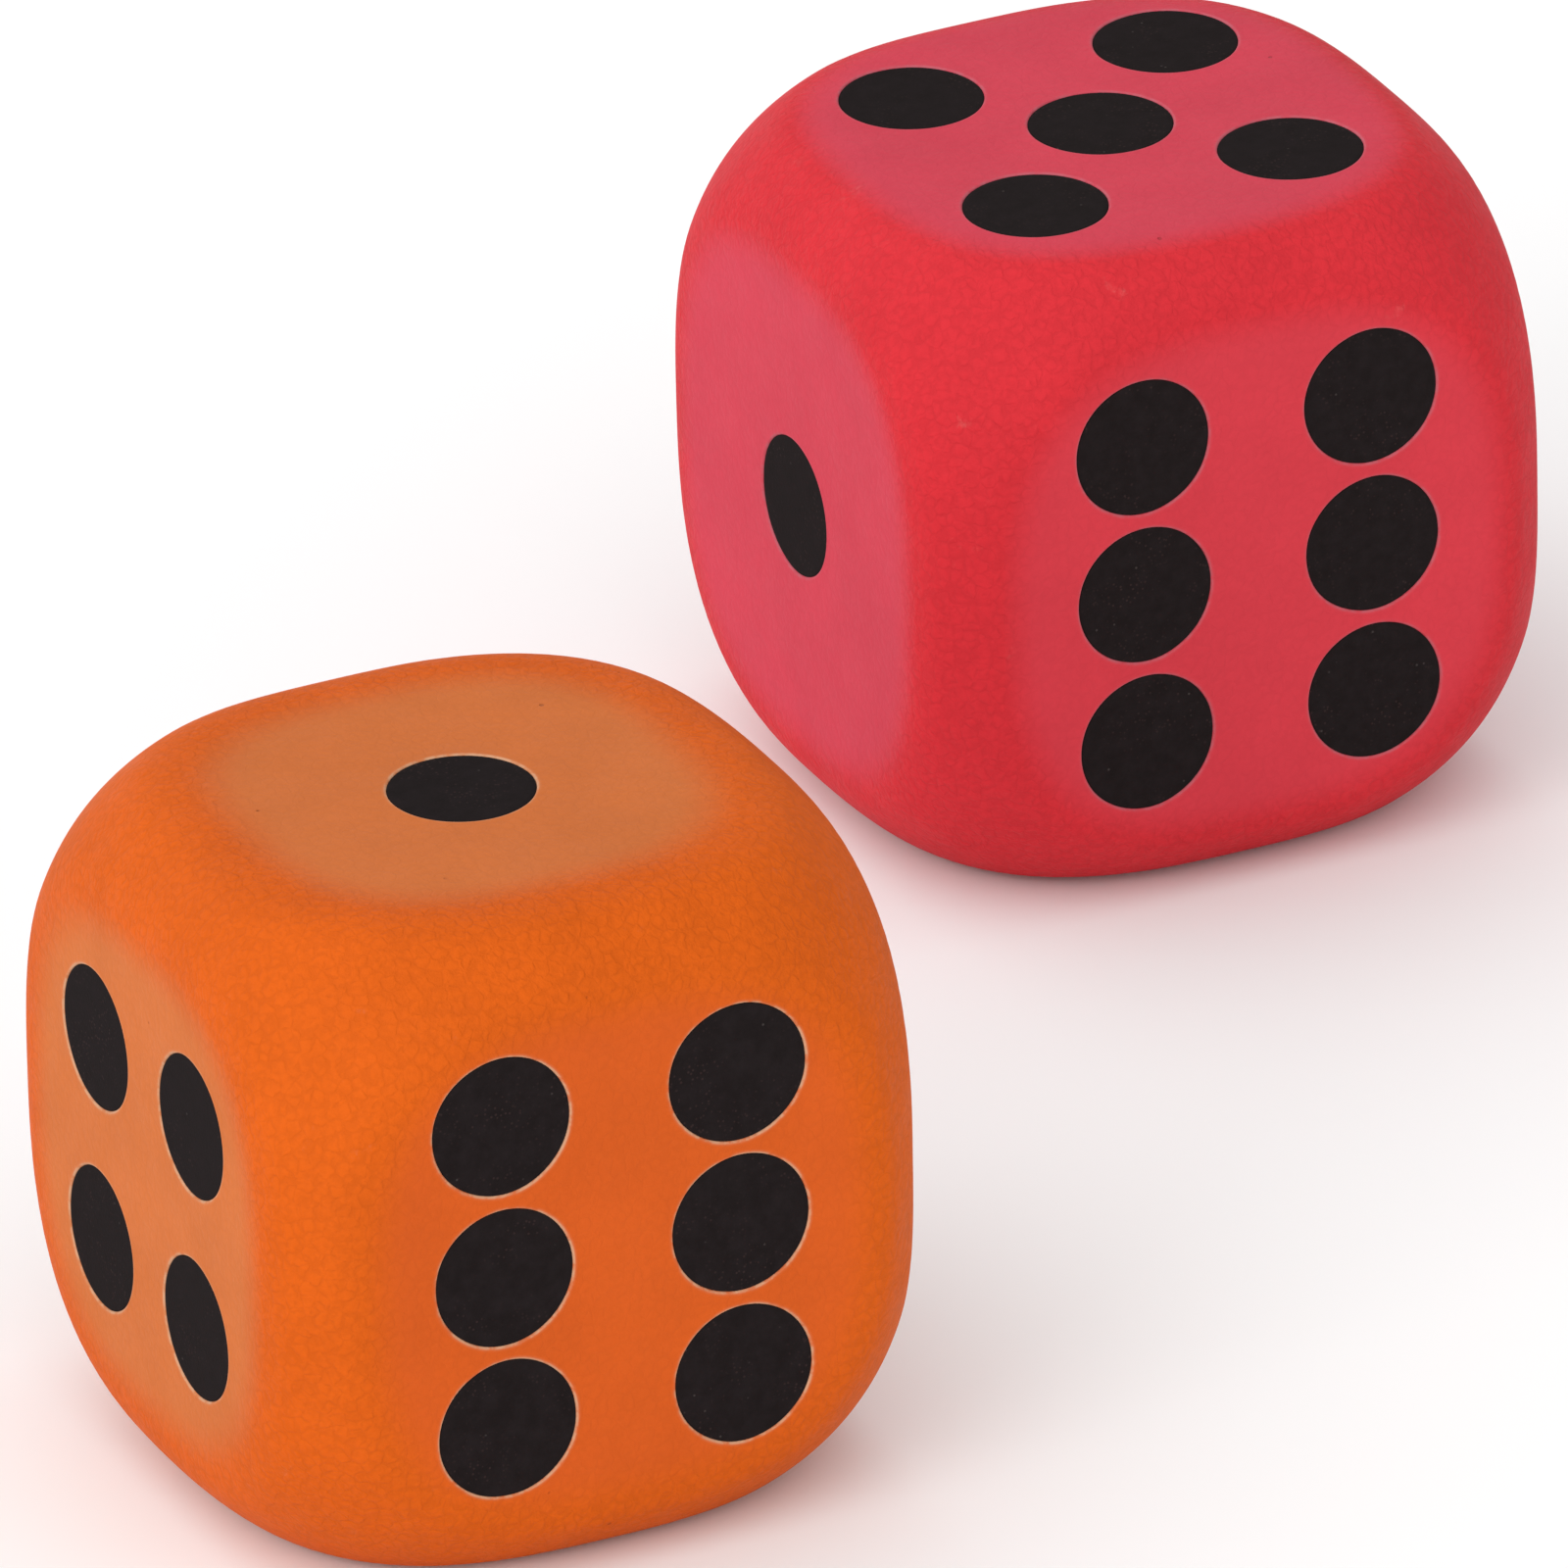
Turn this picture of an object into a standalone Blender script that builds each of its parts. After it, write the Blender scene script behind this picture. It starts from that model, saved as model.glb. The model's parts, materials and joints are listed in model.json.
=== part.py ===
"""A pair of giant yard dice, one orange and one red.

Each die is a block of soft foam inside a thick, flexible sprayed skin. Its form is a rounded block with
six flats, and thin black discs, the pips, lie in shallow pockets in the flats. Metres, +Z up. The dice
stand side by side on the ground, and the origin is on the ground under the middle of the pair.
"""

from math import pi, radians, sin

import bmesh
import bpy
from mathutils import Vector

# Size and form of a die.
DIE_SIDE = 0.100  # across two opposite flats
FORM_BULGE = 0.0088  # how far the round form would stand out past a flat
FORM_POWER = 2.75  # 2 makes the round form a ball, and more makes it squarer
FLAT_BLEND = 0.003  # softens the rim where a flat meets the round form
FORM_CELLS = 10  # mesh cells across a face

# Skin and core.
SKIN_THICKNESS = 0.0015
FIT_GAP = 0.0003  # between pieces that touch

# Pips.
PIP_RADIUS = 0.0105
PIP_THICKNESS = 0.0004
PIP_SINK = 0.0001  # from the flat down to the top of a pip
PIP_SEGMENTS = 20
SIX_COLUMN_OFFSET = 0.0182  # from the middle of the face to either column of the six
SIX_PIP_GAP = 0.00245  # bare skin between neighbours in a column of the six
FIVE_OFFSET = 0.0204  # from the middle, across and up, to a corner pip of the five, the three and the two
FOUR_OFFSET = 0.0157

# Vent hole, made by the spike that holds a die while its skin is sprayed.
VENT_DIRECTION = Vector((1, 1, -1)).normalized()
VENT_RADIUS = 0.0012
VENT_DEPTH = 0.015
VENT_SEGMENTS = 12

# From the middle of the orange die to the middle of the red one.
RED_DIE_RIGHT = 0.174
RED_DIE_BACK = 0.1525

CUT_MARGIN = 0.002  # how far a cutter reaches past the surface that it cuts
SURFACE_STEPS = 20  # enough to bring a point to the form's surface

# A face's way out and its way up, for laying out its pips.
FACES = {
    "top": (Vector((0, 0, 1)), Vector((0, 1, 0))),
    "bottom": (Vector((0, 0, -1)), Vector((0, 1, 0))),
    "front": (Vector((0, -1, 0)), Vector((0, 0, 1))),
    "back": (Vector((0, 1, 0)), Vector((0, 0, 1))),
    "left": (Vector((-1, 0, 0)), Vector((0, 0, 1))),
    "right": (Vector((1, 0, 0)), Vector((0, 0, 1))),
}
ORANGE_NUMBERS = {"top": 1, "bottom": 2, "front": 6, "back": 5, "left": 4, "right": 3}
RED_NUMBERS = {"top": 5, "bottom": 2, "front": 6, "back": 3, "left": 1, "right": 4}
NUMBER_WORDS = {1: "one", 2: "two", 3: "three", 4: "four", 5: "five", 6: "six"}


def clear_scene():
    for obj in list(bpy.data.objects):
        bpy.data.objects.remove(obj, do_unlink=True)


def collection(name):
    made = bpy.data.collections.new(name)
    bpy.context.scene.collection.children.link(made)
    return made


def material(name, colour, roughness):
    made = bpy.data.materials.new(name)
    made.use_nodes = True
    shader = made.node_tree.nodes["Principled BSDF"]
    shader.inputs["Base Color"].default_value = (*colour, 1)
    shader.inputs["Roughness"].default_value = roughness
    shader.inputs["Metallic"].default_value = 0
    return made


def form_reach(direction, inset):
    """From the form's middle to its surface along a direction, for a form smaller by inset all round."""
    half = DIE_SIDE / 2 - inset
    power_sum = sum(abs(part) ** FORM_POWER for part in direction)
    round_reach = (half + FORM_BULGE) / power_sum ** (1 / FORM_POWER)
    flat_reach = half / max(abs(part) for part in direction)
    nearness = max(FLAT_BLEND - abs(round_reach - flat_reach), 0) / FLAT_BLEND
    return min(round_reach, flat_reach) - nearness**2 * FLAT_BLEND / 4


def form_mesh(name, inset):
    """A die's form, smaller by inset all round: a grid on a cube, closer near its edges, moved out.

    Forms of any inset are split into triangles the same way, so one lies inside another with an even gap.
    """
    bm = bmesh.new()
    bmesh.ops.create_cube(bm, size=2)
    bmesh.ops.subdivide_edges(bm, edges=bm.edges[:], cuts=FORM_CELLS - 1, use_grid_fill=True)
    for vertex in bm.verts:
        direction = Vector([sin(part * pi / 2) for part in vertex.co]).normalized()
        vertex.co = direction * form_reach(direction, inset)
    bmesh.ops.triangulate(bm, faces=bm.faces[:], quad_method="FIXED")
    return finished_mesh(bm, name)


def on_form(point, outward, inset):
    """The point moved along outward onto the surface of a form smaller by inset all round."""
    for _ in range(SURFACE_STEPS):
        point = point + outward * (form_reach(point.normalized(), inset) - point.length)
    return point


def add_disc(bm, place, radius, top_inset, bottom_inset):
    """A round disc in the skin, whose two ends follow the form at these insets."""
    middle, outward = place
    turn = outward.to_track_quat("Z", "Y")
    disc = bmesh.ops.create_cone(
        bm, cap_ends=True, cap_tris=True, segments=PIP_SEGMENTS, radius1=radius, radius2=radius, depth=2
    )
    for vertex in disc["verts"]:
        across, up, end = vertex.co
        inset = top_inset if end > 0 else bottom_inset
        vertex.co = on_form(middle + turn @ Vector((across, up, 0)), outward, inset)


def finished_mesh(bm, name):
    mesh = bpy.data.meshes.new(name)
    bm.to_mesh(mesh)
    bm.free()
    mesh.shade_smooth()
    mesh.set_sharp_from_angle(angle=radians(30))
    return mesh


def piece(name, mesh, surface, parent):
    """One sub-part of a die, placed by its parent."""
    made = bpy.data.objects.new(name, mesh)
    made.data.materials.append(surface)
    made.parent = parent
    dice.objects.link(made)
    return made


def cutter(name, mesh, parent):
    made = bpy.data.objects.new(name, mesh)
    made.parent = parent
    made.display_type = "WIRE"
    made.hide_render = True
    cutters.objects.link(made)
    return made


def cut(target, *tools):
    for tool in tools:
        boolean = target.modifiers.new(tool.name, "BOOLEAN")
        boolean.operation = "DIFFERENCE"
        boolean.solver = "EXACT"
        boolean.object = tool


def pip_offsets(number):
    """Where a face's pips lie, across and up from its middle."""
    middle = [(0, 0)]
    diagonal = [(-FIVE_OFFSET, FIVE_OFFSET), (FIVE_OFFSET, -FIVE_OFFSET)]
    other_diagonal = [(FIVE_OFFSET, FIVE_OFFSET), (-FIVE_OFFSET, -FIVE_OFFSET)]
    six_row_pitch = 2 * PIP_RADIUS + SIX_PIP_GAP
    return {
        1: middle,
        2: diagonal,
        3: middle + diagonal,
        4: [(across * FOUR_OFFSET, up * FOUR_OFFSET) for across in (-1, 1) for up in (1, -1)],
        5: middle + diagonal + other_diagonal,
        6: [(across * SIX_COLUMN_OFFSET, up * six_row_pitch) for across in (-1, 1) for up in (1, 0, -1)],
    }[number]


def pip_places(face, number):
    """The middle of each of a face's pips, on the flat, and the way that it faces."""
    outward, upward = FACES[face]
    rightward = upward.cross(outward)
    return [
        (outward * DIE_SIDE / 2 + rightward * across + upward * up, outward)
        for across, up in pip_offsets(number)
    ]


def add_pips(die, numbers, surface, parent):
    """A die's pips, each a disc of its own a little below the skin's surface."""
    for face, number in numbers.items():
        for index, place in enumerate(pip_places(face, number), 1):
            name = f"{die}_pip_{NUMBER_WORDS[number]}_{index}"
            bm = bmesh.new()
            add_disc(bm, place, PIP_RADIUS, PIP_SINK, PIP_SINK + PIP_THICKNESS)
            piece(name, finished_mesh(bm, name), surface, parent)


def pocket_cutter(die, numbers, parent):
    """All of a die's pip pockets, which leave a gap round and under each pip."""
    floor_inset = PIP_SINK + PIP_THICKNESS + FIT_GAP
    bm = bmesh.new()
    for face, number in numbers.items():
        for place in pip_places(face, number):
            add_disc(bm, place, PIP_RADIUS + FIT_GAP, -CUT_MARGIN, floor_inset)
    name = f"{die}_pockets"
    return cutter(name, finished_mesh(bm, name), parent)


def vent_cutter(die, parent):
    depth = VENT_DEPTH + CUT_MARGIN
    bm = bmesh.new()
    bmesh.ops.create_cone(
        bm, cap_ends=True, segments=VENT_SEGMENTS, radius1=VENT_RADIUS, radius2=VENT_RADIUS, depth=depth
    )
    name = f"{die}_vent"
    vent = cutter(name, finished_mesh(bm, name), parent)
    vent.rotation_euler = VENT_DIRECTION.to_track_quat("Z", "Y").to_euler()
    vent.location = VENT_DIRECTION * (form_reach(VENT_DIRECTION, 0) + CUT_MARGIN - depth / 2)
    return vent


def add_die(die, numbers, skin_surface, right, back):
    """One die, with its middle this far right of and behind the origin, and its lowest flat on the ground."""
    parent = bpy.data.objects.new(f"{die}_die", None)
    parent.location = (right, back, DIE_SIDE / 2)
    dice.objects.link(parent)
    vent = vent_cutter(die, parent)

    core_name = f"{die}_foam_core"
    core = piece(core_name, form_mesh(core_name, SKIN_THICKNESS + FIT_GAP), foam, parent)
    cut(core, vent)

    skin_name = f"{die}_skin"
    skin = piece(skin_name, form_mesh(skin_name, 0), skin_surface, parent)
    cavity_name = f"{die}_cavity"
    cavity = cutter(cavity_name, form_mesh(cavity_name, SKIN_THICKNESS), parent)
    cut(skin, cavity, pocket_cutter(die, numbers, parent), vent)

    add_pips(die, numbers, black, parent)


clear_scene()
dice = collection("yard_dice")
cutters = collection("yard_dice_cutters")
foam = material("cream_foam", (0.75, 0.70, 0.58), 0.9)
black = material("black_pip", (0.018, 0.014, 0.015), 0.6)
orange = material("orange_skin", (0.70, 0.13, 0.02), 0.5)
red = material("red_skin", (0.64, 0.05, 0.07), 0.5)

add_die("orange", ORANGE_NUMBERS, orange, -RED_DIE_RIGHT / 2, -RED_DIE_BACK / 2)
add_die("red", RED_NUMBERS, red, RED_DIE_RIGHT / 2, RED_DIE_BACK / 2)
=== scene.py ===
"""The finished look of a pair of giant yard dice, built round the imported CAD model.

Every CAD node is replaced by a finer piece of the same size in the same place: a leathery sprayed skin with
a pocket and a fine lip for each pip, a thin matt black disc for each pip, and an open-celled foam block.
"""

import json
from math import cos, pi, radians, sin

import bmesh
import bpy
from mathutils import Euler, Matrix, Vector, noise
from mathutils.geometry import delaunay_2d_cdt

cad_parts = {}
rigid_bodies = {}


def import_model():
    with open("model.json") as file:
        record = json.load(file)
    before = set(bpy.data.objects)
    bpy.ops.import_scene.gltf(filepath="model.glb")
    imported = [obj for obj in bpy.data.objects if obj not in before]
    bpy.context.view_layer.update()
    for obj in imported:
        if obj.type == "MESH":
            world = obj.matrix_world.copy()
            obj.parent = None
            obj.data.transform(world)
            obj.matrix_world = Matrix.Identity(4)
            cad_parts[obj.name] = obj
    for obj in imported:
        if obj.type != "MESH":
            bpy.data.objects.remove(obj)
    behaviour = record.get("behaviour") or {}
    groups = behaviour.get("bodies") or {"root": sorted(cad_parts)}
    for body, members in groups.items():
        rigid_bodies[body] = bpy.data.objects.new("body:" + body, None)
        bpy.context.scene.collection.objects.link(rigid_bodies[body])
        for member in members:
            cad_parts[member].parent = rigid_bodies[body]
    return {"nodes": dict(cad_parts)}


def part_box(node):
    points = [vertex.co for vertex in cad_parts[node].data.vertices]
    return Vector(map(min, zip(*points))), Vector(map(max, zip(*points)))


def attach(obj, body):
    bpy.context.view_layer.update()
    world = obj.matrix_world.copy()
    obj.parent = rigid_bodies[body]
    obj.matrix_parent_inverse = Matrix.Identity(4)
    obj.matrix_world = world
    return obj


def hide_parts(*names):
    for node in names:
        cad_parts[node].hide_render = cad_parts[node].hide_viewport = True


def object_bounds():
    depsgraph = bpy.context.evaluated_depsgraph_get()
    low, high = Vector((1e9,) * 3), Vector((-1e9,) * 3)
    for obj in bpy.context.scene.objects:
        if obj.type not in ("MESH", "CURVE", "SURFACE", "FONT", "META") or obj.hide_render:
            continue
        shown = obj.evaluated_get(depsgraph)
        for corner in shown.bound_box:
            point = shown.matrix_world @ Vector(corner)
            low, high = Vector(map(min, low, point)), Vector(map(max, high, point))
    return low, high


MM = 0.001
BLACK = (0, 0, 0, 1)
WHITE = (1, 1, 1, 1)

# The dice's form, as in the CAD model.
FORM_BULGE = 8.8 * MM
FORM_POWER = 2.75
FLAT_BLEND = 3 * MM
SKIN_THICKNESS = 1.5 * MM
FIT_GAP = 0.3 * MM
VENT_DIRECTION = Vector((1, 1, -1)).normalized()
VENT_RADIUS = 1.2 * MM
OUTWARD_WAYS = {
    "right": Vector((1, 0, 0)),
    "left": Vector((-1, 0, 0)),
    "back": Vector((0, 1, 0)),
    "front": Vector((0, -1, 0)),
    "top": Vector((0, 0, 1)),
    "bottom": Vector((0, 0, -1)),
}

# Each face's painted sheen: how strongly its flat is painted paler as painted sheen, strongest on the left
# and top flats, and how high the uncut round form stands over the flat at the edge of the flat's own
# colour.
FACE_PAINTED_SHEEN_AND_INSET = {
    "orange": {
        "right": (0.5, 2.5 * MM),
        "left": (1.0, 2.8 * MM),
        "back": (0.7, 2.5 * MM),
        "front": (0.0, 2.0 * MM),
        "top": (1.0, 4.0 * MM),
        "bottom": (0.8, 2.5 * MM),
    },
    "red": {
        "right": (0.5, 0.5 * MM),
        "left": (1.0, 2.2 * MM),
        "back": (0.7, 0.5 * MM),
        "front": (0.0, 1.0 * MM),
        "top": (1.0, 0.5 * MM),
        "bottom": (0.8, 0.5 * MM),
    },
}

# Mesh detail.
SKIN_CELLS = 56  # across a face, outside
LINING_CELLS = 24  # across a face, inside
CORE_CELLS = 32  # across a face of the foam block
CELL_CROWDING = 1.1  # higher makes the cells smaller near a face's edges
PIP_STEPS = 96  # round a pip
VENT_STEPS = 32  # round the vent hole
VENT_CUT_LENGTH = 30 * MM
PLAN_TOLERANCE = 1e-7  # of a half side, where a face is cut into triangles
WELD_DISTANCE = 0.002 * MM  # between faces
SHARP_ANGLE = radians(60)  # between faces that aren't shaded as one

# Soft unevenness.
SWELL_DEPTH = 0.18 * MM
SWELL_WIDTH = 21 * MM
PIP_WOBBLE = 0.07 * MM
PIP_WOBBLE_PACE = 1.7  # higher puts more bumps round a pip
PIP_WOBBLE_SPREAD = 1000  # gives each pip noise of its own
VENT_PUCKER_DEPTH = 0.5 * MM
VENT_PUCKER_WIDTH = 2.2 * MM

# The skin round a pip, from the pip's edge outwards: (how far from the edge, how high above the flat).
LIP_PROFILE = (
    (0.02 * MM, -0.24 * MM),
    (0.10 * MM, -0.12 * MM),
    (0.20 * MM, -0.02 * MM),
    (0.30 * MM, 0.03 * MM),
    (0.45 * MM, 0.04 * MM),
    (0.75 * MM, 0.015 * MM),
    (1.10 * MM, 0.0),
)
POCKET_FLOOR = -0.6 * MM
POCKET_FLOOR_RINGS = (0.5, 0.9, 1)  # shares of the pip's radius
GRID_CLEARANCE = 0.5 * MM  # from the last ring to the face's grid
PALE_FULL = 0.18 * MM  # how far from a pip the pale line round it keeps its strength
PALE_END = 0.50 * MM  # and where it has gone

# A pip, from its middle outwards: (share of its radius, how high above its top).
PIP_TOP_PROFILE = (
    (0.2, 0.0),
    (0.4, 0.0),
    (0.6, 0.0),
    (0.8, 0.0),
    (0.93, 0.0),
    (0.975, -0.012 * MM),
    (0.992, -0.05 * MM),
)
PIP_EDGE_DROP = 0.12 * MM
PIP_UNDERSIDE_RINGS = (1, 0.7, 0.35)  # shares of its radius

# The skin's relief: how far apart its features are, what share of it each kind makes, and its depth.
CRUMPLE_SIZE = 1.3 * MM
CRUMPLE_REACH = 1.1 * MM  # how far the crumpling pushes swellings and creases about
SWELLING_SIZE = 1.15 * MM
SWELLING_SHARE = 0.35
CREASE_SIZE = 1.9 * MM
CREASE_SHARE = 0.2
FINE_GRAIN_SIZE = 0.6 * MM
FINE_GRAIN_SHARE = 0.45
FLAT_FAINTNESS = 0.4  # how strong the relief and its shading are on the flats
PINHOLE_SPACING = 7 * MM
PINHOLE_PATCH_SIZE = 9 * MM  # pinholes show in some patches only
RELIEF_DEPTH = 0.26 * MM

# How far apart the skin's clouds, rubbed patches, breaks in the pale lines and patches of gloss are.
CLOUD_SIZE = 17 * MM
RUB_SIZE = 7 * MM
WORN_LINE_SIZE = 2.2 * MM
GLOSS_PATCH_SIZE = 6 * MM

# The black discs' mottling, dust, specks and grain.
MOTTLE_SIZE = 2.4 * MM
DUST_SPACING = 0.8 * MM
DUSTY_PATCH_SIZE = 9 * MM
SPECK_SPACING = 2.3 * MM
SPECKED_PATCH_SIZE = 4 * MM
DISC_GRAIN_SIZE = 0.5 * MM
DISC_GRAIN_DEPTH = 0.06 * MM

# The foam's pores, darkened with painted shade, and aged patches.
PORE_SPACING = 1.4 * MM
PORE_DEPTH = 0.6 * MM
AGED_PATCH_SIZE = 14 * MM

# Colours. The painted sheen colour is the paler colour painted on most flats as painted sheen.
# The pale share is the strength of the line round each pip where it is strongest.
SKIN_LOOKS = {
    "orange": {
        "round_colour": (0.590, 0.094, 0.004, 1),
        "flat_colour": (0.575, 0.090, 0.010, 1),
        "painted_sheen_colour": (0.53, 0.137, 0.032, 1),
        "pale_colour": (0.58, 0.33, 0.20, 1),
        "pale_share": 0.9,
    },
    "red": {
        "round_colour": (0.575, 0.0245, 0.034, 1),
        "flat_colour": (0.575, 0.039, 0.055, 1),
        "painted_sheen_colour": (0.55, 0.045, 0.073, 1),
        "pale_colour": (0.42, 0.14, 0.17, 1),
        "pale_share": 0.6,
    },
}
RUBBED_COLOUR = (0.8, 0.62, 0.52, 1)
# Painted shade inside the pinholes.
PAINTED_PINHOLE_SHADE = (0.12, 0.02, 0.01, 1)
DISC_DARK = (0.0115, 0.0085, 0.0085, 1)
DISC_PALE = (0.0165, 0.0125, 0.013, 1)
DUST_COLOUR = (0.036, 0.022, 0.021, 1)
SPECK_COLOUR = (0.10, 0.085, 0.08, 1)
FOAM_PORE_SHADE = (0.42, 0.37, 0.27, 1)
FOAM_CREAM = (0.78, 0.72, 0.58, 1)
FOAM_AGED = (0.70, 0.58, 0.36, 1)

# Camera.
VIEW_AZIMUTH = radians(-25.233)
VIEW_ELEVATION = radians(26.207)
VIEW_ROLL = radians(-1.177)
VIEW_DISTANCE = 6.09
VIEW_WIDTH = 0.2225  # across the picture, at the middle of the pair
VIEW_AIM = Vector((-3.5 * MM, -4.5 * MM, 0))  # from the middle of the pair
VIEW_NEAR = 0.1
VIEW_FAR = 40

# Light: the surround's radiance on its dim and bright sides, and soft boxes as (place, size, power).
SURROUND_DIM = 0.52
SURROUND_BRIGHT = 1.50
BRIGHT_SIDE = Vector((-0.9, -0.1, 0.22)).normalized()
SOFT_BOXES = {
    "key": (Vector((-3.0, -1.5, 1.6)), 1.8, 22),
    "low_fill": (Vector((-0.3, -3.0, 0.12)), 1.6, 12),
}

# The floor.
FLOOR_SIZE = 14
FLOOR_DROP = 0.1 * MM  # keeps it clear of the dice's lowest points
FLOOR_CLOUD_SIZE = 1.5


# ---------------------------------------------------------------- form of a die


class Die:
    """A die as the CAD model places it: its middle, its half side, and the pips on each face."""

    def __init__(self, name):
        self.name = name
        low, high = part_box(f"{name}_skin")
        self.middle = (low + high) / 2
        self.half = (high.z - low.z) / 2
        self.pips = [Pip(node, self.middle) for node in frame["nodes"] if node.startswith(f"{name}_pip_")]


class Pip:
    """A pip as the CAD model places it: the middle of its top, the way that faces, and its size."""

    def __init__(self, node, die_middle):
        self.node = node
        low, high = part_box(node)
        sizes = high - low
        axis = min(range(3), key=lambda k: sizes[k])
        side = 1 if (low + high)[axis] / 2 > die_middle[axis] else -1
        self.outward = Vector([side if k == axis else 0 for k in range(3)])
        self.radius = max(sizes) / 2
        self.thickness = min(sizes)
        self.top = (low + high) / 2
        self.top[axis] = high[axis] if side > 0 else low[axis]

    def edge_wobble(self, angle):
        """How far a pip's edge strays from its circle at an angle."""
        around = Vector((cos(angle), sin(angle), 0)) * PIP_WOBBLE_PACE
        return PIP_WOBBLE * noise.noise(around + self.top * PIP_WOBBLE_SPREAD)


def face_axes(outward):
    """The ways right and up on a face, seen from outside."""
    upward = Vector((0, 1, 0)) if outward.z else Vector((0, 0, 1))
    return upward.cross(outward), upward


def uncut_reaches(direction, half):
    """From the middle along a direction: to the round form before it is cut, and to the nearest flat."""
    power_sum = sum(abs(part) ** FORM_POWER for part in direction)
    round_reach = (half + FORM_BULGE) / power_sum ** (1 / FORM_POWER)
    flat_reach = half / max(abs(part) for part in direction)
    return round_reach, flat_reach


def form_reach(direction, half):
    """From the form's middle to its surface along a direction, with each flat's rim blended."""
    round_reach, flat_reach = uncut_reaches(direction, half)
    nearness = max(FLAT_BLEND - abs(round_reach - flat_reach), 0) / FLAT_BLEND
    return min(round_reach, flat_reach) - nearness**2 * FLAT_BLEND / 4


def roundness(direction, half, inset):
    """0 on a flat, 1 on the round form, and in between along a flat's soft rim, drawn in by the inset."""
    round_reach, flat_reach = uncut_reaches(direction, half)
    share = (flat_reach + inset - round_reach) / FLAT_BLEND + 0.5
    return min(max(share, 0), 1)


def swell(point):
    """How far the soft surface lies in from the true form at a point."""
    return SWELL_DEPTH * (0.5 + 0.5 * noise.noise(point / SWELL_WIDTH))


def vent_pucker(point):
    """How far the skin is drawn in round the vent hole, at a point given from the die's middle."""
    if point.dot(VENT_DIRECTION) < 0:
        return 0
    off_axis = (point - VENT_DIRECTION * point.dot(VENT_DIRECTION)).length
    return VENT_PUCKER_DEPTH * 2 ** -((off_axis / VENT_PUCKER_WIDTH) ** 2)


def surface_point(die, outward, half, spot, height):
    """A point on a face of the form, and its direction; the spot is given in shares of the half side."""
    rightward, upward = face_axes(outward)
    direction = (outward + rightward * spot.x + upward * spot.y).normalized()
    place = direction * form_reach(direction, half)
    place += outward * height - direction * (swell(place + die.middle) + vent_pucker(place))
    return die.middle + place, direction


def grid_steps(cells):
    """Places across a face from -1 to 1, closer together near its edges."""
    return [sin(CELL_CROWDING * (2 * k / cells - 1)) / sin(CELL_CROWDING) for k in range(cells + 1)]


# ---------------------------------------------------------------- skin


def lip_rings(pip):
    """The rings of skin under and round a pip: (radius, height above the flat, share of the pale line)."""
    rings = [(pip.radius * share, POCKET_FLOOR, 0) for share in POCKET_FLOOR_RINGS]
    for out, height in LIP_PROFILE:
        pale = (PALE_END - out) / (PALE_END - PALE_FULL)
        rings.append((pip.radius + out, height, min(max(pale, 0), 1)))
    return rings


def face_plan(die, outward, half, cells, pips):
    """A face laid flat: its points, as (right, up, height, pale line), and the edges to keep."""
    rightward, upward = face_axes(outward)
    points = []
    edges = []
    middles = []
    for pip in pips:
        place = pip.top - die.middle
        middle = Vector((place.dot(rightward), place.dot(upward)))
        middles.append(middle)
        points.append((*middle, POCKET_FLOOR, 0))
        for radius, height, pale in lip_rings(pip):
            first = len(points)
            for k in range(PIP_STEPS):
                angle = 2 * pi * k / PIP_STEPS
                reach = radius + pip.edge_wobble(angle)
                right = middle.x + reach * cos(angle)
                up = middle.y + reach * sin(angle)
                points.append((right, up, height, pale))
                edges.append((first + k, first + (k + 1) % PIP_STEPS))
    lip = LIP_PROFILE[-1][0] + GRID_CLEARANCE
    steps = grid_steps(cells)
    for right in steps:
        for up in steps:
            spot = Vector((right, up)) * half
            if all((spot - middle).length > pip.radius + lip for pip, middle in zip(pips, middles)):
                points.append((*spot, 0, 0))
    return points, edges


def add_form(bm, die, half, cells, pips=(), inside_out=False):
    """Adds the die's form to a mesh, at a given half side, with a pocket for each pip and its wear."""
    round_layer = bm.verts.layers.float.get("roundness")
    pale_layer = bm.verts.layers.float.get("pale_line")
    painted_sheen_layer = bm.verts.layers.float.get("chalk")
    for side, outward in OUTWARD_WAYS.items():
        chalk, inset = FACE_PAINTED_SHEEN_AND_INSET[die.name][side]
        face_pips = [pip for pip in pips if pip.outward == outward]
        points, edges = face_plan(die, outward, half, cells, face_pips)
        plan = [Vector(point[:2]) / half for point in points]
        flat, _, triangles, sources, _, _ = delaunay_2d_cdt(plan, edges, [], 0, PLAN_TOLERANCE)
        made = []
        for spot, source in zip(flat, sources):
            _, _, height, pale = points[source[0]]
            place, direction = surface_point(die, outward, half, spot, height)
            vertex = bm.verts.new(place)
            vertex[round_layer] = roundness(direction, half, inset)
            vertex[pale_layer] = pale
            # How strongly this spot is painted paler, as painted sheen on the flat.
            vertex[painted_sheen_layer] = chalk * (1 - vertex[round_layer])
            made.append(vertex)
        for triangle in triangles:
            corners = [made[k] for k in triangle]
            bm.faces.new(reversed(corners) if inside_out else corners)
    bmesh.ops.remove_doubles(bm, verts=bm.verts[:], dist=WELD_DISTANCE)


def new_form_mesh():
    """An empty bmesh with the layers that the skin's material reads."""
    bm = bmesh.new()
    for layer in ("roundness", "pale_line", "chalk"):
        bm.verts.layers.float.new(layer)
    return bm


def skin_piece(die, surface):
    """A die's skin: a shell with pip pockets outside, a lining inside and the vent hole through both."""
    bm = new_form_mesh()
    add_form(bm, die, die.half, SKIN_CELLS, pips=die.pips)
    add_form(bm, die, die.half - SKIN_THICKNESS, LINING_CELLS, inside_out=True)
    piece = finished_piece(f"{die.name}_sprayed_skin", bm, surface)
    cut_vent(piece, die)
    return piece


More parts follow.
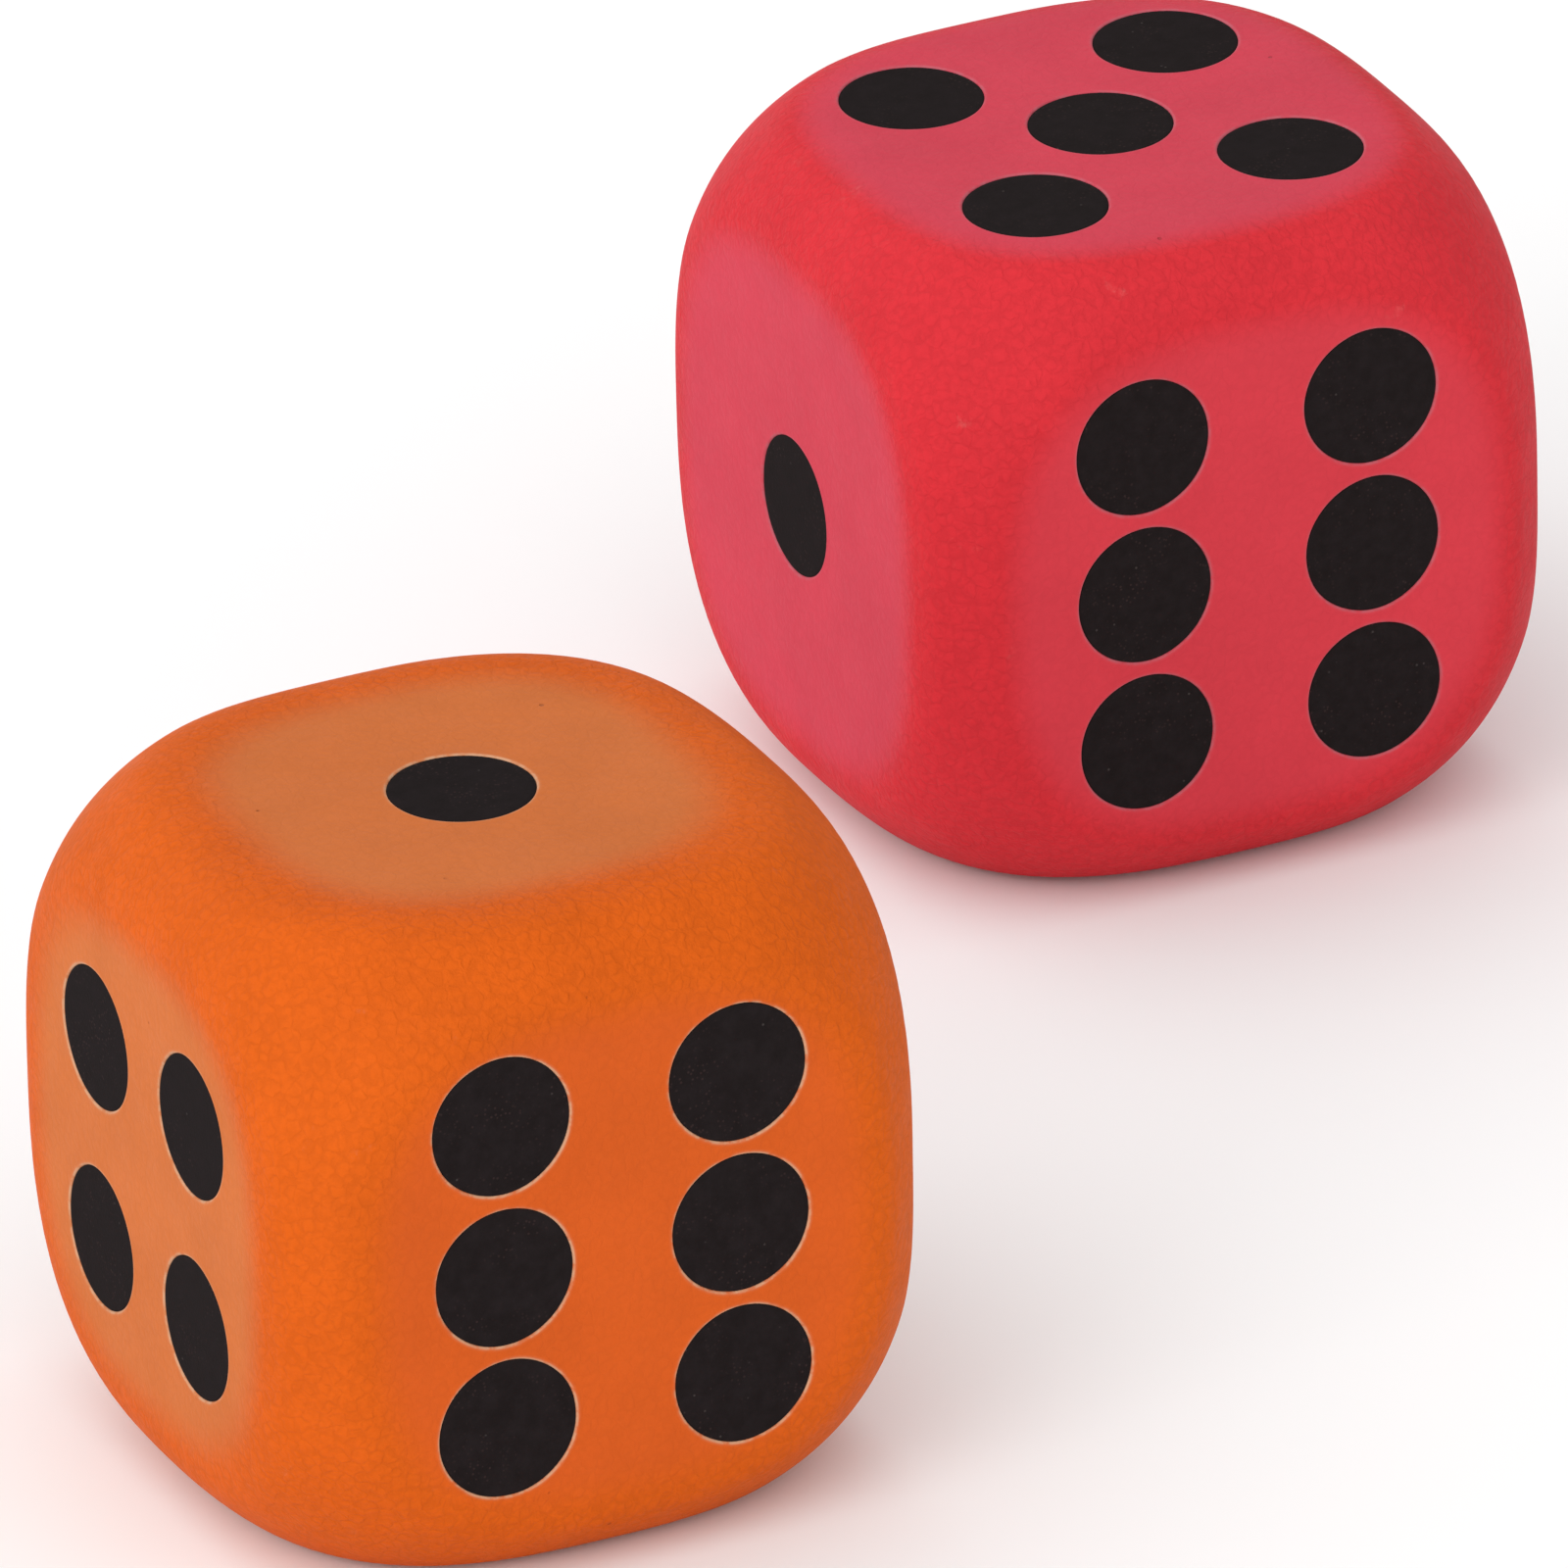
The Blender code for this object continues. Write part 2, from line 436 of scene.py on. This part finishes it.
def vent_cutter(die):
    """A rod along the vent hole, from outside the die into its core."""
    bm = bmesh.new()
    bmesh.ops.create_cone(
        bm,
        cap_ends=True,
        segments=VENT_STEPS,
        radius1=VENT_RADIUS,
        radius2=VENT_RADIUS,
        depth=VENT_CUT_LENGTH,
    )
    mesh = bpy.data.meshes.new("vent_cutter")
    bm.to_mesh(mesh)
    bm.free()
    cutter = bpy.data.objects.new("vent_cutter", mesh)
    cutter.rotation_euler = VENT_DIRECTION.to_track_quat("Z", "Y").to_euler()
    cutter.location = die.middle + VENT_DIRECTION * form_reach(VENT_DIRECTION, die.half)
    bpy.context.scene.collection.objects.link(cutter)
    return cutter


def cut_vent(piece, die):
    """Cuts the vent hole, and keeps the result as the piece's mesh."""
    cutter = vent_cutter(die)
    boolean = piece.modifiers.new("vent", "BOOLEAN")
    boolean.operation = "DIFFERENCE"
    boolean.solver = "EXACT"
    boolean.object = cutter
    bpy.context.view_layer.update()
    evaluated = piece.evaluated_get(bpy.context.evaluated_depsgraph_get())
    cut_mesh = bpy.data.meshes.new_from_object(evaluated)
    piece.modifiers.clear()
    piece.data = cut_mesh
    bpy.data.objects.remove(cutter)
    shade_softly(cut_mesh)


# ---------------------------------------------------------------- core and pips


def core_piece(die, surface):
    """A die's foam block, just inside the skin."""
    bm = new_form_mesh()
    add_form(bm, die, die.half - SKIN_THICKNESS - FIT_GAP, CORE_CELLS)
    piece = finished_piece(f"{die.name}_foam_block", bm, surface)
    cut_vent(piece, die)
    return piece


def pip_piece(die, pip, surface):
    """One pip: a thin disc that lies on the form, with a softened and slightly uneven edge."""
    rightward, upward = face_axes(pip.outward)
    place = pip.top - die.middle
    middle = Vector((place.dot(rightward), place.dot(upward)))
    sunk = place.dot(pip.outward) - die.half
    sections = [*PIP_TOP_PROFILE, (1, -PIP_EDGE_DROP)]
    sections += [(share, -pip.thickness) for share in PIP_UNDERSIDE_RINGS]
    bm = bmesh.new()

    def add_point(across, up, height):
        spot = Vector((middle.x + across, middle.y + up)) / die.half
        return bm.verts.new(surface_point(die, pip.outward, die.half, spot, sunk + height)[0])

    rings = []
    for share, height in sections:
        ring = []
        for k in range(PIP_STEPS):
            angle = 2 * pi * k / PIP_STEPS
            reach = (pip.radius + pip.edge_wobble(angle)) * share
            ring.append(add_point(reach * cos(angle), reach * sin(angle), height))
        rings.append(ring)
    for k in range(PIP_STEPS):
        after = (k + 1) % PIP_STEPS
        for outer, inner in zip(rings, rings[1:]):
            bm.faces.new((outer[k], inner[k], inner[after], outer[after]))
    for ring, height in ((rings[0], 0), (rings[-1], -pip.thickness)):
        hub = add_point(0, 0, height)
        for k in range(PIP_STEPS):
            bm.faces.new((hub, ring[k], ring[(k + 1) % PIP_STEPS]))
    bmesh.ops.recalc_face_normals(bm, faces=bm.faces[:])
    word = pip.node.removeprefix(f"{die.name}_pip_")
    return finished_piece(f"{die.name}_black_disc_{word}", bm, surface)


def shade_softly(mesh):
    """Smooth shading, but for its sharp edges."""
    mesh.shade_smooth()
    mesh.set_sharp_from_angle(angle=SHARP_ANGLE)


def finished_piece(name, bm, surface):
    """Puts a bmesh in the scene as a piece with its material."""
    mesh = bpy.data.meshes.new(name)
    bm.to_mesh(mesh)
    bm.free()
    shade_softly(mesh)
    mesh.materials.append(surface)
    piece = bpy.data.objects.new(name, mesh)
    bpy.context.scene.collection.objects.link(piece)
    return piece


# ---------------------------------------------------------------- materials


class Nodes:
    """Short ways to add and link nodes in one material."""

    def __init__(self, name):
        self.material = bpy.data.materials.new(name)
        self.material.use_nodes = True
        self.tree = self.material.node_tree
        self.shader = self.tree.nodes["Principled BSDF"]
        self.place = self.tree.nodes.new("ShaderNodeTexCoord").outputs["Object"]

    def add(self, kind, settings=None, **sockets):
        """A new node, with its settings, and its input sockets by name."""
        node = self.tree.nodes.new(kind)
        for name, value in (settings or {}).items():
            setattr(node, name, value)
        for name, value in sockets.items():
            self.put(node.inputs[name.replace("_", " ")], value)
        return node

    def put(self, socket, value):
        """Links another node's output to a socket, or sets the socket's own value."""
        if isinstance(value, bpy.types.NodeSocket):
            self.tree.links.new(value, socket)
        else:
            socket.default_value = value

    def noise(self, size, detail=2.0, roughness=0.5):
        """Noise with features about this far apart."""
        made = self.add(
            "ShaderNodeTexNoise", Vector=self.place, Scale=1 / size, Detail=detail, Roughness=roughness
        )
        return made.outputs["Fac"]

    def warped(self, size, reach):
        """The place, pushed about by noise with features of this size, by up to this far."""
        pushes = self.add("ShaderNodeTexNoise", Vector=self.place, Scale=1 / size, Detail=2.0)
        made = self.add("ShaderNodeVectorMath", {"operation": "MULTIPLY_ADD"})
        self.put(made.inputs[0], pushes.outputs["Color"])
        self.put(made.inputs[1], (reach, reach, reach))
        self.put(made.inputs[2], self.place)
        return made.outputs[0]

    def cells(self, size, feature="F1", place=None):
        """Cells about this far apart: the distance from their middles, or from their edges."""
        made = self.add("ShaderNodeTexVoronoi", {"feature": feature}, Scale=1 / size)
        self.put(made.inputs["Vector"], place or self.place)
        return made.outputs["Distance"]

    def ramp(self, value, low, high, start=0.0, end=1.0):
        """Turns low to high into start to end, smoothly, and holds it there past either end."""
        made = self.add("ShaderNodeMapRange", {"interpolation_type": "SMOOTHSTEP"}, Value=value)
        made.inputs["From Min"].default_value = low
        made.inputs["From Max"].default_value = high
        made.inputs["To Min"].default_value = start
        made.inputs["To Max"].default_value = end
        return made.outputs["Result"]

    def math(self, operation, first, second):
        """Arithmetic on two values."""
        made = self.add("ShaderNodeMath", {"operation": operation})
        self.put(made.inputs[0], first)
        self.put(made.inputs[1], second)
        return made.outputs[0]

    def mix(self, share, first, second):
        """From the first colour to the second, as the share goes from 0 to 1."""
        made = self.add("ShaderNodeMix", {"data_type": "RGBA"})
        self.put(made.inputs["Factor"], share)
        self.put(made.inputs["A"], first)
        self.put(made.inputs["B"], second)
        return made.outputs["Result"]

    def attribute(self, name):
        """One of the mesh's own layers."""
        return self.add("ShaderNodeAttribute", {"attribute_name": name}).outputs["Fac"]

    def bump(self, height, distance):
        """Relief in the shading, this deep where the height goes from 0 to 1."""
        made = self.add("ShaderNodeBump", Height=height, Distance=distance, Strength=1.0)
        self.put(self.shader.inputs["Normal"], made.outputs["Normal"])


def skin_material(name, round_colour, flat_colour, painted_sheen_colour, pale_colour, pale_share):
    """Sprayed, leathery skin: dull satin, with painted sheen making most flats paler, and a pale line round
    each pip.
    """
    nodes = Nodes(name)
    round_share = nodes.attribute("roundness")

    # Relief: leathery swellings, creases and finer grain, fainter on the flats, with rare pinholes.
    crumpled = nodes.warped(CRUMPLE_SIZE, CRUMPLE_REACH)
    swellings = nodes.ramp(nodes.cells(SWELLING_SIZE, "SMOOTH_F1", crumpled), 0.1, 0.75, start=1, end=0)
    creases = nodes.ramp(nodes.cells(CREASE_SIZE, "DISTANCE_TO_EDGE", crumpled), 0.0, 0.16)
    fine = nodes.noise(FINE_GRAIN_SIZE, detail=4, roughness=0.6)
    leather = nodes.math("MULTIPLY", swellings, SWELLING_SHARE)
    leather = nodes.math("ADD", leather, nodes.math("MULTIPLY", creases, CREASE_SHARE))
    leather = nodes.math("ADD", leather, nodes.math("MULTIPLY", fine, FINE_GRAIN_SHARE))
    strength = nodes.ramp(round_share, 0, 1, start=FLAT_FAINTNESS)
    spots = nodes.ramp(nodes.cells(PINHOLE_SPACING), 0.03, 0.05, start=1, end=0)
    spotted = nodes.ramp(nodes.noise(PINHOLE_PATCH_SIZE, detail=1), 0.6, 0.66)
    pinholes = nodes.math("MULTIPLY", spots, spotted)
    relief = nodes.math("SUBTRACT", nodes.math("MULTIPLY", leather, strength), pinholes)
    nodes.bump(relief, RELIEF_DEPTH)

    # Colour: flat or round, with painted sheen on most flats, clouded, and with painted shade in the
    # grain's hollows.
    colour = nodes.mix(round_share, flat_colour, round_colour)
    # Painted sheen: most flats are painted paler, strongest on the left and top ones.
    colour = nodes.mix(nodes.attribute("chalk"), colour, painted_sheen_colour)
    cloud = nodes.ramp(nodes.noise(CLOUD_SIZE, detail=4), 0.3, 0.7, start=0.965, end=1.035)
    painted_hollow_shade = nodes.math("SUBTRACT", nodes.ramp(leather, 0.3, 0.75, start=0.94, end=1.04), 1)
    painted_hollow_shade = nodes.math("ADD", nodes.math("MULTIPLY", painted_hollow_shade, strength), 1)
    toned = nodes.add("ShaderNodeVectorMath", {"operation": "SCALE"})
    nodes.put(toned.inputs[0], colour)
    nodes.put(toned.inputs["Scale"], nodes.math("MULTIPLY", cloud, painted_hollow_shade))

    # Rubbed paler here and there on the round by wear, painted shade in the pinholes, and a pale line round
    # each pip.
    rub = nodes.ramp(nodes.noise(RUB_SIZE, detail=7, roughness=0.75), 0.62, 0.8, end=0.10)
    worn = nodes.mix(nodes.math("MULTIPLY", rub, round_share), toned.outputs[0], RUBBED_COLOUR)
    worn = nodes.mix(nodes.math("MULTIPLY", pinholes, 0.35), worn, PAINTED_PINHOLE_SHADE)
    breaks = nodes.noise(WORN_LINE_SIZE, detail=4, roughness=0.65)
    unbroken = nodes.ramp(breaks, 0.36, 0.6, start=0.2, end=pale_share)
    line = nodes.math("MULTIPLY", nodes.attribute("pale_line"), unbroken)
    nodes.put(nodes.shader.inputs["Base Color"], nodes.mix(line, worn, pale_colour))

    # Gloss: a dull satin, in patches.
    patch = nodes.ramp(nodes.noise(GLOSS_PATCH_SIZE, detail=4), 0.3, 0.7, start=0.56, end=0.64)
    nodes.put(nodes.shader.inputs["Roughness"], patch)
    nodes.shader.inputs["Specular IOR Level"].default_value = 0.08
    return nodes.material


def pip_material():
    """Matt black disc, faintly mottled and dusty, with a few paler specks."""
    nodes = Nodes("matt_black_disc")
    mottle = nodes.ramp(nodes.noise(MOTTLE_SIZE, detail=5, roughness=0.65), 0.3, 0.75)
    colour = nodes.mix(mottle, DISC_DARK, DISC_PALE)
    dust = nodes.ramp(nodes.cells(DUST_SPACING), 0.12, 0.3, start=0.8, end=0)
    dusty = nodes.ramp(nodes.noise(DUSTY_PATCH_SIZE, detail=3), 0.42, 0.66)
    colour = nodes.mix(nodes.math("MULTIPLY", dust, dusty), colour, DUST_COLOUR)
    specks = nodes.ramp(nodes.cells(SPECK_SPACING), 0.05, 0.1, start=0.4, end=0)
    specked = nodes.ramp(nodes.noise(SPECKED_PATCH_SIZE, detail=1), 0.55, 0.62)
    colour = nodes.mix(nodes.math("MULTIPLY", specks, specked), colour, SPECK_COLOUR)
    nodes.put(nodes.shader.inputs["Base Color"], colour)
    nodes.put(nodes.shader.inputs["Roughness"], nodes.ramp(mottle, 0, 1, start=0.8, end=0.95))
    nodes.shader.inputs["Specular IOR Level"].default_value = 0.03
    nodes.bump(nodes.noise(DISC_GRAIN_SIZE, detail=3), DISC_GRAIN_DEPTH)
    return nodes.material


def foam_material():
    """Soft open-celled foam: cream, with painted shade in its small pores."""
    nodes = Nodes("cream_open_foam")
    walls = nodes.ramp(nodes.cells(PORE_SPACING), 0.25, 0.5)
    # Painted shade in the pores, cream on the walls between them.
    cream = nodes.mix(walls, FOAM_PORE_SHADE, FOAM_CREAM)
    aged = nodes.ramp(nodes.noise(AGED_PATCH_SIZE, detail=3), 0.35, 0.7, end=0.25)
    nodes.put(nodes.shader.inputs["Base Color"], nodes.mix(aged, cream, FOAM_AGED))
    nodes.put(nodes.shader.inputs["Roughness"], nodes.ramp(walls, 0, 1, start=1, end=0.85))
    nodes.shader.inputs["Sheen Weight"].default_value = 0.2
    nodes.bump(walls, PORE_DEPTH)
    return nodes.material


def floor_material():
    """Plain pale studio floor, very faintly uneven in tone."""
    nodes = Nodes("pale_floor")
    shade = nodes.ramp(nodes.noise(FLOOR_CLOUD_SIZE, detail=2), 0.3, 0.7, start=0.91, end=0.93)
    nodes.put(nodes.shader.inputs["Base Color"], nodes.mix(shade, BLACK, WHITE))
    nodes.shader.inputs["Roughness"].default_value = 0.9
    nodes.shader.inputs["Specular IOR Level"].default_value = 0.2
    return nodes.material


# ---------------------------------------------------------------- studio


def add_floor():
    """A pale floor just under the dice, which isn't part of the object."""
    bpy.ops.mesh.primitive_plane_add(size=FLOOR_SIZE, location=(0, 0, -FLOOR_DROP))
    floor = bpy.context.object
    floor.name = "pale_floor"
    floor.data.materials.append(floor_material())


def add_light(name, place, size, power, aim):
    """A square soft box that faces a point."""
    data = bpy.data.lights.new(name, "AREA")
    data.shape = "SQUARE"
    data.size = size
    data.energy = power
    light = bpy.data.objects.new(name, data)
    light.location = place
    light.rotation_euler = (aim - light.location).to_track_quat("-Z", "Y").to_euler()
    bpy.context.scene.collection.objects.link(light)


def add_world():
    """A soft white surround, brighter on one side; what the camera sees of it is plain."""
    world = bpy.data.worlds.new("studio")
    world.use_nodes = True
    tree = world.node_tree
    lit = tree.nodes["Background"]
    lit.inputs["Color"].default_value = WHITE
    seen = tree.nodes.new("ShaderNodeBackground")
    seen.inputs["Color"].default_value = WHITE
    side = tree.nodes.new("ShaderNodeVectorMath")
    side.operation = "DOT_PRODUCT"
    side.inputs[1].default_value = BRIGHT_SIDE
    tree.links.new(tree.nodes.new("ShaderNodeTexCoord").outputs["Generated"], side.inputs[0])
    level = tree.nodes.new("ShaderNodeMapRange")
    level.inputs["From Min"].default_value = -1
    level.inputs["To Min"].default_value = SURROUND_DIM
    level.inputs["To Max"].default_value = SURROUND_BRIGHT
    tree.links.new(side.outputs["Value"], level.inputs["Value"])
    tree.links.new(level.outputs["Result"], lit.inputs["Strength"])
    mix = tree.nodes.new("ShaderNodeMixShader")
    camera_ray = tree.nodes.new("ShaderNodeLightPath").outputs["Is Camera Ray"]
    tree.links.new(camera_ray, mix.inputs["Fac"])
    tree.links.new(lit.outputs["Background"], mix.inputs[1])
    tree.links.new(seen.outputs["Background"], mix.inputs[2])
    tree.links.new(mix.outputs["Shader"], tree.nodes["World Output"].inputs["Surface"])
    bpy.context.scene.world = world


def add_camera(middle):
    """A long lens at the photograph's angle."""
    azimuth, elevation = VIEW_AZIMUTH, VIEW_ELEVATION
    back = Vector((sin(azimuth) * cos(elevation), -cos(azimuth) * cos(elevation), sin(elevation)))
    data = bpy.data.cameras.new("camera")
    data.lens = data.sensor_width * VIEW_DISTANCE / VIEW_WIDTH
    data.clip_start = VIEW_NEAR
    data.clip_end = VIEW_FAR
    camera = bpy.data.objects.new("camera", data)
    camera.location = middle + VIEW_AIM + back * VIEW_DISTANCE
    facing = (-back).to_track_quat("-Z", "Y")
    camera.rotation_mode = "QUATERNION"
    camera.rotation_quaternion = facing @ Euler((0, 0, VIEW_ROLL)).to_quaternion()
    bpy.context.scene.collection.objects.link(camera)
    bpy.context.scene.camera = camera


# ---------------------------------------------------------------- putting it together


def add_die(name, skin_surface, disc_surface, foam_surface):
    """One die's pieces, in place of its CAD nodes."""
    die = Die(name)
    body = f"{name}_die"
    skin = skin_piece(die, skin_surface)
    place_piece(skin, body, f"{name}_skin")
    core = core_piece(die, foam_surface)
    place_piece(core, body, f"{name}_foam_core")
    for pip in die.pips:
        place_piece(pip_piece(die, pip, disc_surface), body, pip.node)


def place_piece(piece, body, node):
    """Makes a piece move with a body, and hides the CAD node that it stands for."""
    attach(piece, body)
    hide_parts(node)


for start_object in list(bpy.data.objects):
    bpy.data.objects.remove(start_object)
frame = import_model()
cad_low, cad_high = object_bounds()
pair_middle = (cad_low + cad_high) / 2

bpy.context.scene.view_settings.view_transform = "Standard"
add_camera(pair_middle)
add_world()
add_floor()
for light_name, (place, size, power) in SOFT_BOXES.items():
    add_light(f"{light_name}_soft_box", place, size, power, pair_middle)

skins = {name: skin_material(f"{name}_sprayed_skin", **look) for name, look in SKIN_LOOKS.items()}
black_discs = pip_material()
cream_foam = foam_material()
for die_name, skin_surface in skins.items():
    add_die(die_name, skin_surface, black_discs, cream_foam)
